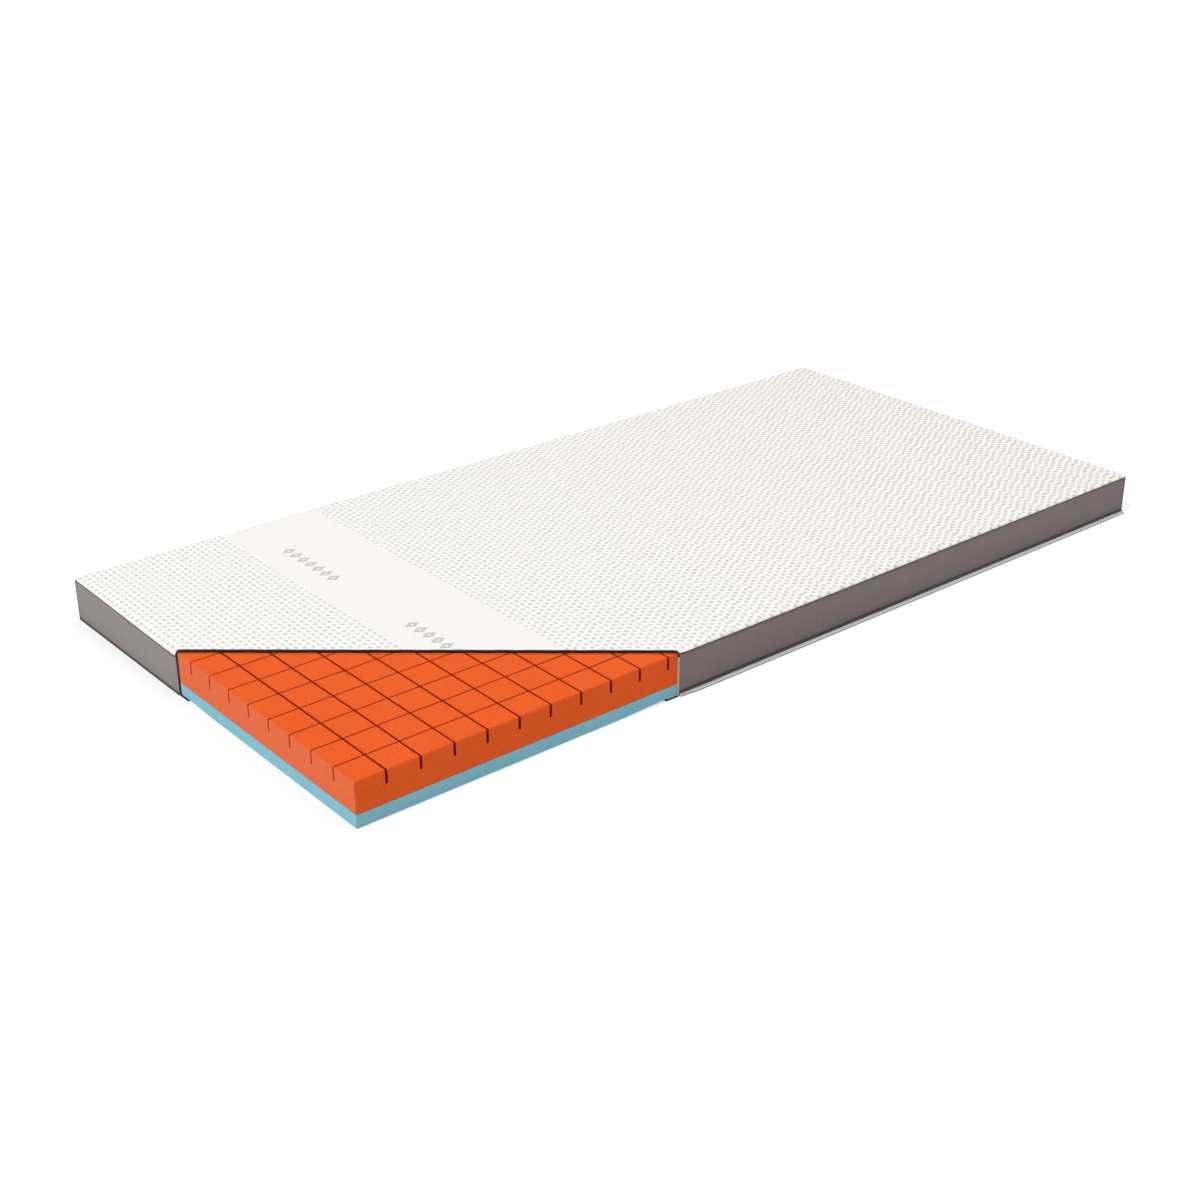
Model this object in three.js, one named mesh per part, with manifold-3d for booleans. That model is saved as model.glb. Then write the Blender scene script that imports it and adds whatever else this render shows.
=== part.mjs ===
// A foam mattress topper in a zip-off cover, shown with one corner of the cover cut away.
// Millimetres, +Z up. X runs across the width, +Y runs from the foot to the head, and the
// origin is the middle of the underside, on the surface that the mattress lies on.

import * as THREE from "three";
import { mergeVertices } from "three/addons/utils/BufferGeometryUtils.js";
import Module from "manifold-3d";

const wasm = await Module();
wasm.setup();

// ---------------------------------------------------------------- driving dimensions

const WIDTH = 980;
const LENGTH = 2000;
const HEIGHT = 90;
const GAP = 0.3; // between pieces that touch

const PANEL = 3; // thickness of the top and bottom panels
const BORDER = 2.5; // thickness of the four side panels
const SEAM_TAPE = 0.6; // thickness of the tape that covers a seam, outside the border
const SEAM_TAPE_HEIGHT = 3;

const BASE_FOAM = 23; // thickness of the support layer; the comfort layer takes the rest
const PLAY = 2.5; // free space beside the foam where the cover swings or the zip slider runs

const SLOT_PITCH = 66;
const FIRST_SLOT = 60; // from the foam's foot and right faces to the middle of the first slot
const SLOT_WIDTH = 2;
const SLOT_DEPTH = 25;
const LAST_BLOCK = 20; // the narrowest row of blocks that is left at the far faces

const CROWN_INSET = 9; // how far the rounded edge of the top panel reaches inwards
const CROWN_DROP = 2.4; // how much lower the top panel's rim is than its middle

const CUT_FOOT_X = -86; // where the cutaway crosses the foot side
const CUT_RIGHT_Y = -317; // where it crosses the right side
const BINDING = 3; // width of the bound edge along the cutaway

const BORDER_BOTTOM = 10.5; // lower edge of the right, head and left borders, above the zip
const FOOT_BOTTOM = 0.8; // lower edge of the foot border, sewn to the bottom panel
const ZIP_Z = 3.7; // height of the zip's centre line
const COIL_HEIGHT = 1.7; // one row of zip elements
const COIL_DEPTH = 2.2;
const COIL_PARTING = 1.4; // between the rows, where the slider's bridge runs
const TAPE = 1.2; // thickness of the upper zip tape
const TURNED_TAPE = 0.7; // thickness of the lower zip tape, which turns under the foam
const TURNED_TAPE_WIDTH = 15;
const ZIP_END_Y = -985; // the zip's closed end, near the left foot corner
const STOP_LENGTH = 2.4;

const SLIDER_Y = -968; // middle of the slider when the zip is closed
const PLATE = 1.2; // thickness of the slider's two plates
const PLATE_LENGTH = 12;
const NOSE_WIDTH = 5.4;
const TAIL_WIDTH = 4.2;
const BRIDGE = 0.8;
const ARCH_OPENING = 3.4; // length of the opening under the slider's arch
const ARCH_CLEARANCE = 1.7; // its height above the plate
const ARCH_BAR = 0.9;
const ARCH_WIDTH = 1.6;
const TAB_LENGTH = 28;
const TAB_WIDTH = 4.8;
const TAB = 1; // thickness of the pull tab
const TAB_EYE_WIDTH = 2.4;
const TAB_EYE_LENGTH = 5.5;
const TAB_PIN_RADIUS = 0.55;

const LABEL = { width: 60, height: 36, thickness: 0.5, x: -290, z: 48 };

// ---------------------------------------------------------------- derived positions

const outer = { x: WIDTH / 2, y: LENGTH / 2 };
const face = { x: outer.x - SEAM_TAPE - GAP, y: outer.y - SEAM_TAPE - GAP }; // borders' outside
const lining = { x: face.x - BORDER, y: face.y - BORDER }; // borders' inside

const foam = {
  left: -(lining.x - PLAY),
  right: lining.x - GAP,
  foot: -(lining.y - GAP),
  head: lining.y - PLAY,
};
const baseBottom = PANEL + GAP;
const baseTop = baseBottom + BASE_FOAM;
const topPanelBottom = HEIGHT - PANEL;
const comfortBottom = baseTop + GAP;
const comfortTop = topPanelBottom - GAP;
const borderTop = comfortTop;

const coilTop = ZIP_Z + COIL_PARTING / 2 + COIL_HEIGHT;
const coilBottom = ZIP_Z - COIL_PARTING / 2 - COIL_HEIGHT;
const coilOutside = face.x + (COIL_DEPTH - TAPE) * 0.7;
const coilInside = coilOutside - COIL_DEPTH;

const CUT_FOOT = new THREE.Vector2(CUT_FOOT_X, -outer.y);
const CUT_RIGHT = new THREE.Vector2(outer.x, CUT_RIGHT_Y);

// ---------------------------------------------------------------- materials

function material(color, roughness, metalness = 0) {
  return () => new THREE.MeshStandardMaterial({ color, roughness, metalness });
}

const knit = material(0xf2f1ec, 0.9);
const borderCloth = material(0x7d7672, 0.9);
const seamCloth = material(0x4a4543, 0.9);
const bindingCloth = material(0x2a2322, 0.85);
const paleBinding = material(0xcfc6c4, 0.85);
const comfortFoam = material(0xf06426, 0.95);
const baseFoam = material(0x8ec6d4, 0.95);
const zipCloth = material(0xf0f0ee, 0.85);
const zipNylon = material(0xeceae8, 0.5);
const zipMetal = material(0xa9a9ab, 0.35, 1);
const labelCloth = material(0xf4f4f2, 0.8);

// ---------------------------------------------------------------- geometry helpers

// A closed geometry as a manifold solid.
function toSolid(geometry) {
  const bare = geometry.clone();
  bare.deleteAttribute("normal");
  bare.deleteAttribute("uv");
  const merged = mergeVertices(bare, 1e-4);
  return new wasm.Manifold(
    new wasm.Mesh({
      numProp: 3,
      vertProperties: new Float32Array(merged.attributes.position.array),
      triVerts: new Uint32Array(merged.index.array),
    }),
  );
}

// A manifold solid as a geometry with flat-shaded faces.
function toGeometry(solid) {
  const mesh = solid.getMesh();
  const geometry = new THREE.BufferGeometry();
  geometry.setAttribute("position", new THREE.BufferAttribute(mesh.vertProperties, 3));
  geometry.setIndex(new THREE.BufferAttribute(mesh.triVerts, 1));
  const flat = geometry.toNonIndexed();
  flat.computeVertexNormals();
  return flat;
}

// A box between two corners.
function box(x0, x1, y0, y1, z0, z1) {
  const geometry = new THREE.BoxGeometry(x1 - x0, y1 - y0, z1 - z0);
  return geometry.translate((x0 + x1) / 2, (y0 + y1) / 2, (z0 + z1) / 2);
}

// A plan outline, with any holes, raised from z0 to z1.
function prism(points, z0, z1, holes = []) {
  const shape = new THREE.Shape(points);
  shape.holes = holes.map((hole) => new THREE.Path(hole));
  const options = { depth: z1 - z0, bevelEnabled: false, curveSegments: 8 };
  return new THREE.ExtrudeGeometry(shape, options).translate(0, 0, z0);
}

function rectangle(x0, x1, y0, y1) {
  return [
    new THREE.Vector2(x0, y0),
    new THREE.Vector2(x1, y0),
    new THREE.Vector2(x1, y1),
    new THREE.Vector2(x0, y1),
  ];
}

// A block that holds everything on the covered side of the cutaway, set back by a distance.
// With a width, it is only the strip of that width behind that line.
function coveredSide(setBack, width = 2 * LENGTH) {
  const along = CUT_RIGHT.clone().sub(CUT_FOOT).normalize();
  const inwards = new THREE.Vector2(-along.y, along.x);
  const near = CUT_FOOT.clone().addScaledVector(inwards, setBack);
  const start = near.clone().addScaledVector(along, -LENGTH);
  const end = near.clone().addScaledVector(along, 2 * LENGTH);
  const outline = [
    start,
    end,
    end.clone().addScaledVector(inwards, width),
    start.clone().addScaledVector(inwards, width),
  ];
  return toSolid(prism(outline, -HEIGHT, 2 * HEIGHT));
}

// What is left of a cover piece behind the bound edge of the cutaway.
function cutAway(geometry) {
  return toGeometry(toSolid(geometry).intersect(coveredSide(BINDING + GAP)));
}

// The strip of a cover piece that the bound edge of the cutaway takes up.
function boundEdge(geometry) {
  return toGeometry(toSolid(geometry).intersect(coveredSide(0, BINDING)));
}

// A wall round the right, head and left sides that ends at footY, outside x and y inwards.
function threeSides(x, y, thickness, footY, z0, z1) {
  const inX = x - thickness;
  const inY = y - thickness;
  const outline = [
    new THREE.Vector2(x, footY),
    new THREE.Vector2(x, y),
    new THREE.Vector2(-x, y),
    new THREE.Vector2(-x, footY),
    new THREE.Vector2(-inX, footY),
    new THREE.Vector2(-inX, inY),
    new THREE.Vector2(inX, inY),
    new THREE.Vector2(inX, footY),
  ];
  return prism(outline, z0, z1);
}

// ---------------------------------------------------------------- scene graph

const mattress = new THREE.Group();

function add(name, geometry, makeMaterial, parent = mattress) {
  const mesh = new THREE.Mesh(geometry, makeMaterial());
  mesh.name = name;
  parent.add(mesh);
  return mesh;
}

// ---------------------------------------------------------------- foam core

add("base_foam", box(foam.left, foam.right, foam.foot, foam.head, baseBottom, baseTop), baseFoam);

// The edges of the slots and of the foam along one axis. Blocks and slots alternate, so an
// interval with an odd index is a slot. The slots start from one face, in the given direction.
function slotEdges(start, end, direction) {
  const edges = [start];
  const last = end - direction * LAST_BLOCK;
  let middle = start + direction * FIRST_SLOT;
  while (direction * (last - middle) > 0) {
    edges.push(middle - (direction * SLOT_WIDTH) / 2, middle + (direction * SLOT_WIDTH) / 2);
    middle += direction * SLOT_PITCH;
  }
  edges.push(end);
  return edges.sort((a, b) => a - b);
}

// The comfort layer is cut from above into square blocks by slots that run both ways. Its
// surface is a grid of cells, each at the height of a block's top or of a slot's floor.
function slottedFoam() {
  const xs = slotEdges(foam.right, foam.left, -1);
  const ys = slotEdges(foam.foot, foam.head, 1);
  const floor = comfortTop - SLOT_DEPTH;
  const positions = [];
  const triangle = (...points) => points.forEach((p) => positions.push(...p));
  const quad = (a, b, c, d) => {
    triangle(a, b, c);
    triangle(a, c, d);
  };
  const wall = (from, to, low, high) =>
    quad([...from, low], [...to, low], [...to, high], [...from, high]);
  const inGrid = (i, j) => i >= 0 && j >= 0 && i < xs.length - 1 && j < ys.length - 1;
  const isBlock = (i, j) => inGrid(i, j) && i % 2 === 0 && j % 2 === 0;
  const middle = [(foam.left + foam.right) / 2, (foam.foot + foam.head) / 2, comfortBottom];
  const neighbours = [[0, -1], [1, 0], [0, 1], [-1, 0]];

  for (let i = 0; i < xs.length - 1; i++) {
    for (let j = 0; j < ys.length - 1; j++) {
      const top = isBlock(i, j) ? comfortTop : floor;
      const corners = rectangle(xs[i], xs[i + 1], ys[j], ys[j + 1]).map((p) => p.toArray());
      quad(...corners.map((corner) => [...corner, top]));
      neighbours.forEach(([di, dj], side) => {
        const from = corners[side];
        const to = corners[(side + 1) % 4];
        if (isBlock(i, j) && !isBlock(i + di, j + dj)) wall(from, to, floor, comfortTop);
        if (inGrid(i + di, j + dj)) return;
        wall(from, to, comfortBottom, floor);
        triangle([...to, comfortBottom], [...from, comfortBottom], middle);
      });
    }
  }
  const geometry = new THREE.BufferGeometry();
  geometry.setAttribute("position", new THREE.Float32BufferAttribute(positions, 3));
  geometry.computeVertexNormals();
  return geometry;
}

add("comfort_foam", slottedFoam(), comfortFoam);

// ---------------------------------------------------------------- cover panels

// The bottom panel ends at the turned-under zip tape on three sides, and at the border's
// lower edge on the foot side.
const bottomPanel = box(
  -(face.x - TURNED_TAPE_WIDTH - GAP),
  face.x - TURNED_TAPE_WIDTH - GAP,
  -(lining.y - GAP),
  face.y - TURNED_TAPE_WIDTH - GAP,
  0,
  PANEL,
);
add("bottom_panel", cutAway(bottomPanel), knit);

// The top panel has a rounded edge: it is the upper half of a slab with bevelled rims.
function crownedPanel() {
  const shape = new THREE.Shape(rectangle(-outer.x, outer.x, -outer.y, outer.y));
  const slab = new THREE.ExtrudeGeometry(shape, {
    depth: PANEL,
    bevelThickness: CROWN_DROP,
    bevelSize: CROWN_INSET,
    bevelOffset: -CROWN_INSET,
    bevelSegments: 4,
  }).translate(0, 0, HEIGHT - CROWN_DROP - PANEL);
  const above = box(-WIDTH, WIDTH, -LENGTH, LENGTH, topPanelBottom, HEIGHT + 1);
  return toGeometry(toSolid(slab).intersect(toSolid(above)));
}

const topPanel = crownedPanel();
add("top_panel", cutAway(topPanel), knit);

const footBorder = box(-face.x, face.x, -face.y, -lining.y, FOOT_BOTTOM, borderTop);
const sideEnd = lining.y - GAP; // the side borders butt against the foot and head borders
const rightBorder = box(lining.x, face.x, -sideEnd, sideEnd, BORDER_BOTTOM, borderTop);

add("border_foot", cutAway(footBorder), borderCloth);
add("border_right", cutAway(rightBorder), borderCloth);
add("border_head", box(-face.x, face.x, lining.y, face.y, BORDER_BOTTOM, borderTop), borderCloth);
add("border_left", box(-face.x, -lining.x, -sideEnd, sideEnd, BORDER_BOTTOM, borderTop), borderCloth);

// ---------------------------------------------------------------- seams and bound edges

// The top seam goes round all four sides, and is open where the corner is cut away.
const seamInside = { x: outer.x - SEAM_TAPE, y: outer.y - SEAM_TAPE };
const topSeam = prism(
  rectangle(-outer.x, outer.x, -outer.y, outer.y),
  borderTop - SEAM_TAPE_HEIGHT,
  borderTop,
  [rectangle(-seamInside.x, seamInside.x, -seamInside.y, seamInside.y)],
);
add("top_seam_tape", cutAway(topSeam), seamCloth);

const lowerSeamBottom = BORDER_BOTTOM - SEAM_TAPE_HEIGHT / 2;
const lowerSeam = threeSides(
  outer.x,
  outer.y,
  SEAM_TAPE,
  -sideEnd,
  lowerSeamBottom,
  lowerSeamBottom + SEAM_TAPE_HEIGHT,
);
add("lower_seam_tape", cutAway(lowerSeam), seamCloth);

const footSeam = box(
  -outer.x,
  outer.x,
  -outer.y,
  -seamInside.y,
  FOOT_BOTTOM,
  FOOT_BOTTOM + SEAM_TAPE_HEIGHT,
);
add("foot_seam_tape", cutAway(footSeam), seamCloth);

add("cut_binding_top", boundEdge(topPanel), bindingCloth);
add("cut_binding_foot", boundEdge(footBorder), bindingCloth);
add("cut_binding_right", boundEdge(rightBorder), paleBinding);
add("cut_binding_bottom", boundEdge(bottomPanel), bindingCloth);

// ---------------------------------------------------------------- zip

const upperTape = threeSides(face.x, face.y, TAPE, -sideEnd, coilTop + GAP, BORDER_BOTTOM - GAP);
add("zip_tape_upper", cutAway(upperTape), zipCloth);

const lowerTapeBottom = 0.1;
const lowerTape = threeSides(
  face.x,
  face.y,
  TURNED_TAPE_WIDTH,
  -sideEnd,
  lowerTapeBottom,
  lowerTapeBottom + TURNED_TAPE,
);
add("zip_tape_lower", cutAway(lowerTape), zipCloth);

const coilHeadY = face.y + coilOutside - face.x;
function coilRow(z) {
  return cutAway(threeSides(coilOutside, coilHeadY, COIL_DEPTH, ZIP_END_Y, z, z + COIL_HEIGHT));
}
add("zip_coil_upper", coilRow(coilTop - COIL_HEIGHT), zipNylon);
add("zip_coil_lower", coilRow(coilBottom), zipNylon);

// A metal stop is clamped beyond the last element of each row.
function stop(z) {
  const end = ZIP_END_Y - GAP;
  return box(-coilOutside, -coilInside, end - STOP_LENGTH, end, z, z + COIL_HEIGHT);
}
add("zip_stop_upper", stop(coilTop - COIL_HEIGHT), zipMetal);
add("zip_stop_lower", stop(coilBottom), zipMetal);

// The slider's own frame: +X out of the mattress, +Y towards its nose, origin on the face of
// the border at the zip's centre line. It is turned round to run on the left side.
const slider = new THREE.Group();
slider.position.set(-face.x, SLIDER_Y, ZIP_Z);
slider.rotation.z = Math.PI;
mattress.add(slider);

const outerPlate = coilOutside - face.x + GAP;
const innerPlate = coilInside - face.x - GAP - PLATE;
const plateTop = outerPlate + PLATE;
const archMiddle = -0.5;
const archStart = archMiddle - ARCH_OPENING / 2;
const archEnd = archMiddle + ARCH_OPENING / 2;
const archTop = plateTop + ARCH_CLEARANCE + ARCH_BAR;

// A plate of the slider, wide at its nose and narrower at its tail, lying from x to x + PLATE.
function sliderPlate(x) {
  const nose = PLATE_LENGTH / 2;
  const outline = new THREE.Shape();
  outline.moveTo(-NOSE_WIDTH / 2, nose - 1.5);
  outline.quadraticCurveTo(-NOSE_WIDTH / 2, nose, 0, nose);
  outline.quadraticCurveTo(NOSE_WIDTH / 2, nose, NOSE_WIDTH / 2, nose - 1.5);
  outline.lineTo(TAIL_WIDTH / 2, -nose);
  outline.lineTo(-TAIL_WIDTH / 2, -nose);
  outline.closePath();
  const options = { depth: PLATE, bevelEnabled: false, curveSegments: 5 };
  return new THREE.ExtrudeGeometry(outline, options).rotateY(Math.PI / 2).translate(x, 0, 0);
}

function sliderBody() {
  const nose = PLATE_LENGTH / 2;
  const halfArch = ARCH_WIDTH / 2;
  const pieces = [
    sliderPlate(innerPlate),
    sliderPlate(outerPlate),
    box(innerPlate, plateTop, nose - 3.4, nose - 1.2, -BRIDGE / 2, BRIDGE / 2),
    box(plateTop - 0.1, archTop, archStart - 1, archStart, -halfArch, halfArch),
    box(plateTop - 0.1, archTop, archEnd, archEnd + 1, -halfArch, halfArch),
    box(archTop - ARCH_BAR, archTop, archStart - 1, archEnd + 1, -halfArch, halfArch),
  ];
  return toGeometry(pieces.map(toSolid).reduce((all, piece) => all.add(piece)));
}
add("zip_slider", sliderBody(), zipMetal, slider);

// The pull tab's frame is at its pin, which passes under the arch along Z.
const pull = new THREE.Group();
pull.position.set(plateTop + ARCH_CLEARANCE / 2, archMiddle, 0);
slider.add(pull);

function pullTab() {
  const half = TAB_WIDTH / 2;
  const outline = new THREE.Shape();
  outline.moveTo(half, 0);
  outline.lineTo(half, -TAB_LENGTH + half);
  outline.absarc(0, -TAB_LENGTH + half, half, 0, -Math.PI, true);
  outline.lineTo(-half, 0);
  outline.closePath();
  const eye = rectangle(-TAB_EYE_WIDTH / 2, TAB_EYE_WIDTH / 2, -TAB_EYE_LENGTH, 1);
  const options = { depth: TAB, bevelEnabled: false, curveSegments: 10 };
  const blade = new THREE.ExtrudeGeometry(outline, options);
  const opening = new THREE.ExtrudeGeometry(new THREE.Shape(eye), { ...options, depth: 3 * TAB });
  blade.rotateY(Math.PI / 2).translate(-TAB / 2, 0, 0);
  opening.rotateY(Math.PI / 2).translate(-1.5 * TAB, 0, 0);
  const pin = new THREE.CylinderGeometry(TAB_PIN_RADIUS, TAB_PIN_RADIUS, TAB_WIDTH, 12);
  pin.rotateX(Math.PI / 2);
  return toGeometry(toSolid(blade).subtract(toSolid(opening)).add(toSolid(pin)));
}
add("zip_pull_tab", pullTab(), zipMetal, pull);

// ---------------------------------------------------------------- blank care label

const label = box(
  LABEL.x - LABEL.width / 2,
  LABEL.x + LABEL.width / 2,
  face.y + GAP,
  face.y + GAP + LABEL.thickness,
  LABEL.z - LABEL.height / 2,
  LABEL.z + LABEL.height / 2,
);
add("care_label", label, labelCloth);

export default mattress;
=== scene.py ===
"""Looks of the foam mattress topper: knitted cover, seams, zip and foam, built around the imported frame.

Lengths in the builders are millimetres in the row frame; piece() and from_bmesh() turn them into metres.
"""

import math
from functools import partialmethod

import bmesh
import bpy
import numpy as np
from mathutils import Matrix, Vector


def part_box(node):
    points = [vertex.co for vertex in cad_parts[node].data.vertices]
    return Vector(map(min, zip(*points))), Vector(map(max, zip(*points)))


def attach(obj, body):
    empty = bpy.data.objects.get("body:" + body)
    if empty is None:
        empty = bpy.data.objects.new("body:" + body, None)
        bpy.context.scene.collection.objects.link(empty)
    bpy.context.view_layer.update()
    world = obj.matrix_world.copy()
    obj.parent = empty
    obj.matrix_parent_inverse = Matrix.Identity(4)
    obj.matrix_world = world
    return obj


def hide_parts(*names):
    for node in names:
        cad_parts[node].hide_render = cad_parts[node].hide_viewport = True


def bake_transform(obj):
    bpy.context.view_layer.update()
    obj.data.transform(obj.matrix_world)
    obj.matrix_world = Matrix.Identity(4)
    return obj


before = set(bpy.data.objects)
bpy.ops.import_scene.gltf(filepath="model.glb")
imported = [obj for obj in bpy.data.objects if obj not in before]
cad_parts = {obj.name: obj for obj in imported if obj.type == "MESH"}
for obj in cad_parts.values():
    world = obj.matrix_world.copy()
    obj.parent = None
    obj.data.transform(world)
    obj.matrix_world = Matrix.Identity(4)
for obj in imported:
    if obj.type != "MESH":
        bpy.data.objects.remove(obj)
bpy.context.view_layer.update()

MM = 0.001
UP = np.array([0.0, 0.0, 1.0])
rng = np.random.default_rng(7)


def box(node):
    """Lowest and highest corner of a CAD node, in millimetres."""
    low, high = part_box(node)
    return np.array(low) / MM, np.array(high) / MM


# ---- camera ----

AZIMUTH, ELEVATION, DISTANCE = math.radians(50.07), math.radians(25.60), 3.576
TARGET = Vector((0.0917, -0.1686, 0.0))
back = Vector((
    math.sin(AZIMUTH) * math.cos(ELEVATION),
    -math.cos(AZIMUTH) * math.cos(ELEVATION),
    math.sin(ELEVATION),
))
camera = bpy.data.objects.new("camera", bpy.data.cameras.new("camera"))
camera.data.lens, camera.data.sensor_width = 54.0, 36.0
camera.data.clip_end = 100
camera.location = TARGET + back * DISTANCE
camera.rotation_euler = back.to_track_quat("Z", "Y").to_euler()
bpy.context.scene.collection.objects.link(camera)
bpy.context.scene.camera = camera

# ---- sizes taken from the frame ----

top_low, top_high = box("top_panel")
HALF_X, HALF_Y = top_high[0], top_high[1]
strip_low, strip_high = box("cut_binding_top")
BINDING = 3.0  # width of the bound edge in CAD
along = np.array([HALF_X - strip_low[0], strip_high[1] + HALF_Y, 0.0])
along /= np.linalg.norm(along)
corner_side = np.array([along[1], -along[0], 0.0])  # across the cutaway, towards the open corner
CUT_FOOT = np.array([strip_low[0], -HALF_Y, 0.0]) + BINDING * corner_side
CUT_FOOT -= along * ((CUT_FOOT[1] + HALF_Y) / along[1])
CUT_LENGTH = (HALF_X - CUT_FOOT[0]) / along[0]
CUT_RIGHT = CUT_FOOT + along * CUT_LENGTH


def cut_place(x, y):
    """Distances along the cutaway's plane, and from that plane into the covered side."""
    dx, dy = x - CUT_FOOT[0], y - CUT_FOOT[1]
    return dx * along[0] + dy * along[1], -(dx * corner_side[0] + dy * corner_side[1])


# ---- mesh helpers ----


def dress(name, mesh, body, material, replaces, sharp):
    """A smooth-shaded object from a mesh, riding on a CAD body and standing for CAD nodes."""
    mesh.polygons.foreach_set("use_smooth", np.ones(len(mesh.polygons), bool))
    mesh.set_sharp_from_angle(angle=math.radians(sharp))
    mesh.materials.append(material)
    made = bpy.data.objects.new(name, mesh)
    bpy.context.scene.collection.objects.link(made)
    if body:
        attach(made, body)
    if replaces:
        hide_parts(*replaces)
    return made


def piece(name, shape, body, material, replaces=(), sharp=40):
    """A piece from its points in millimetres and its faces."""
    points, faces = shape
    mesh = bpy.data.meshes.new(name)
    mesh.from_pydata((np.reshape(points, (-1, 3)) * MM).tolist(), [], faces)
    mesh.validate()
    return dress(name, mesh, body, material, replaces, sharp)


def from_bmesh(name, bm, body, material, replaces=()):
    """A piece from a bmesh in millimetres."""
    mesh = bpy.data.meshes.new(name)
    bmesh.ops.scale(bm, vec=(MM, MM, MM), verts=bm.verts)
    bm.to_mesh(mesh)
    bm.free()
    return dress(name, mesh, body, material, replaces, 60)


def grid_faces(rows, columns, wrap=False):
    """Quads between the points of a rows by columns grid; wrap joins the last column to the first."""
    i = np.arange(rows - 1)[:, None]
    j = np.arange(columns if wrap else columns - 1)[None, :]
    k = (j + 1) % columns
    quads = [i * columns + j, i * columns + k, (i + 1) * columns + k, (i + 1) * columns + j]
    return np.stack(quads, -1).reshape(-1, 4)


def tube_faces(rings, around, flip=False):
    """The quads round a tube and its two end caps; flip turns them over."""
    faces = grid_faces(rings, around, wrap=True).tolist()
    faces += [list(range(around))[::-1], list(range((rings - 1) * around, rings * around))]
    return [face[::-1] for face in faces] if flip else faces


def rim_of(rows, columns):
    """The outermost points of a grid, once round."""
    index = np.arange(rows * columns).reshape(rows, columns)
    return np.concatenate([index[0, :], index[1:, -1], index[-1, -2::-1], index[-2:0:-1, 0]])


def slab(upper, lower, flip=False):
    """Points and faces of a solid between two grids of points."""
    rows, columns = upper.shape[:2]
    count = rows * columns
    faces = grid_faces(rows, columns)
    rim = rim_of(rows, columns)
    after = np.roll(rim, -1)
    side = np.stack([rim, rim + count, after + count, after], -1)
    faces = np.concatenate([faces, faces[:, ::-1] + count, side])
    return [upper, lower], (faces[:, ::-1] if flip else faces).tolist()


def sweep(path, outwards, upwards, section):
    """A closed section carried along a path. It and the two ways may change from point to point."""
    section = np.broadcast_to(section, (len(path), *np.shape(section)[-2:]))
    outwards, upwards = (np.broadcast_to(way, path.shape)[:, None] for way in (outwards, upwards))
    points = path[:, None] + section[..., :1] * outwards + section[..., 1:] * upwards
    backwards = np.cross(outwards[0, 0], upwards[0, 0]) @ (path[1] - path[0]) < 0
    return points, tube_faces(*section.shape[:2], flip=backwards)


def rounded(width, height, radius, steps=3, centre=(0.0, 0.0)):
    """The outline of a rectangle with rounded corners, anticlockwise."""
    out = []
    for k, (sx, sy) in enumerate([(1, 1), (-1, 1), (-1, -1), (1, -1)]):
        for i in range(steps + 1):
            a = math.pi / 2 * (k + i / steps)
            out.append((
                centre[0] + sx * (width / 2 - radius) + radius * math.cos(a),
                centre[1] + sy * (height / 2 - radius) + radius * math.sin(a),
            ))
    return np.array(out)


def unit(vectors):
    """Vectors brought to length one."""
    return vectors / np.linalg.norm(vectors, axis=1)[:, None]


def clamp(t):
    return np.clip(t, 0, 1)


def smooth(t):
    t = clamp(t)
    return t * t * (3 - 2 * t)


def waves(s, scale, seed):
    """A smooth irregular line between about -1 and 1 along s."""
    r = np.random.default_rng(seed)
    total = np.zeros_like(np.asarray(s, float))
    for _ in range(6):
        total += np.sin(s * 2 * np.pi / (scale * r.uniform(0.55, 1.7)) + r.uniform(0, 6.3))
    return total / 4.2


class Ring:
    """The way round the mattress from the foot side's cut over the left, head and right sides."""

    CORNER = 9  # points in each rounded corner

    def __init__(self, half_x, half_y, radius, start, end):
        cx, cy = half_x - radius, half_y - radius
        points, normals = [(start, -half_y)], [(0, -1)]
        for (ox, oy), a0 in (((-cx, -cy), 270), ((-cx, cy), 180), ((cx, cy), 90)):
            for i in range(self.CORNER):
                a = math.radians(a0 - 90 * i / (self.CORNER - 1))
                points.append((ox + radius * math.cos(a), oy + radius * math.sin(a)))
                normals.append((math.cos(a), math.sin(a)))
        self.points = np.array([*points, (half_x, end)], float)
        self.normals = np.array([*normals, (1, 0)], float)
        steps = np.linalg.norm(np.diff(self.points, axis=0), axis=1)
        self.s = np.concatenate([[0], np.cumsum(steps)])
        self.length = self.s[-1]
        self.left_start = self.s[self.CORNER] + 0.4  # where the zip and the side seam begin

    def at(self, s):
        """Positions (z 0), outward normals and ways along, at arc lengths s."""
        p, n = (np.stack([*(np.interp(s, self.s, values[:, k]) for k in (0, 1)), 0 * s], -1)
                for values in (self.points, self.normals))
        n = unit(n)
        return p, n, np.cross(n, UP)

    def steps(self, spacing, start=0.0):
        """Arc lengths about spacing apart, with all the corner points kept."""
        inner = self.s[(self.s > start + 0.2) & (self.s < self.length - 0.2)]
        even = np.linspace(start, self.length, max(2, int((self.length - start) / spacing)) + 1)
        even = even[np.min(np.abs(even[:, None] - inner[None]), axis=1) > 0.25 * spacing]
        return np.unique(np.concatenate([[start, self.length], even, inner]).round(5))


def band(ring, section, spacing, start=0.0, wobble=None):
    """A section swept along a ring. wobble(s, sections) may move it."""
    s = ring.steps(spacing, start)
    p, n, _ = ring.at(s)
    sections = np.broadcast_to(section, (len(s), *section.shape)).copy()
    if wobble:
        sections = wobble(s[:, None], sections)
    return sweep(p, n, UP, sections)


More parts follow.
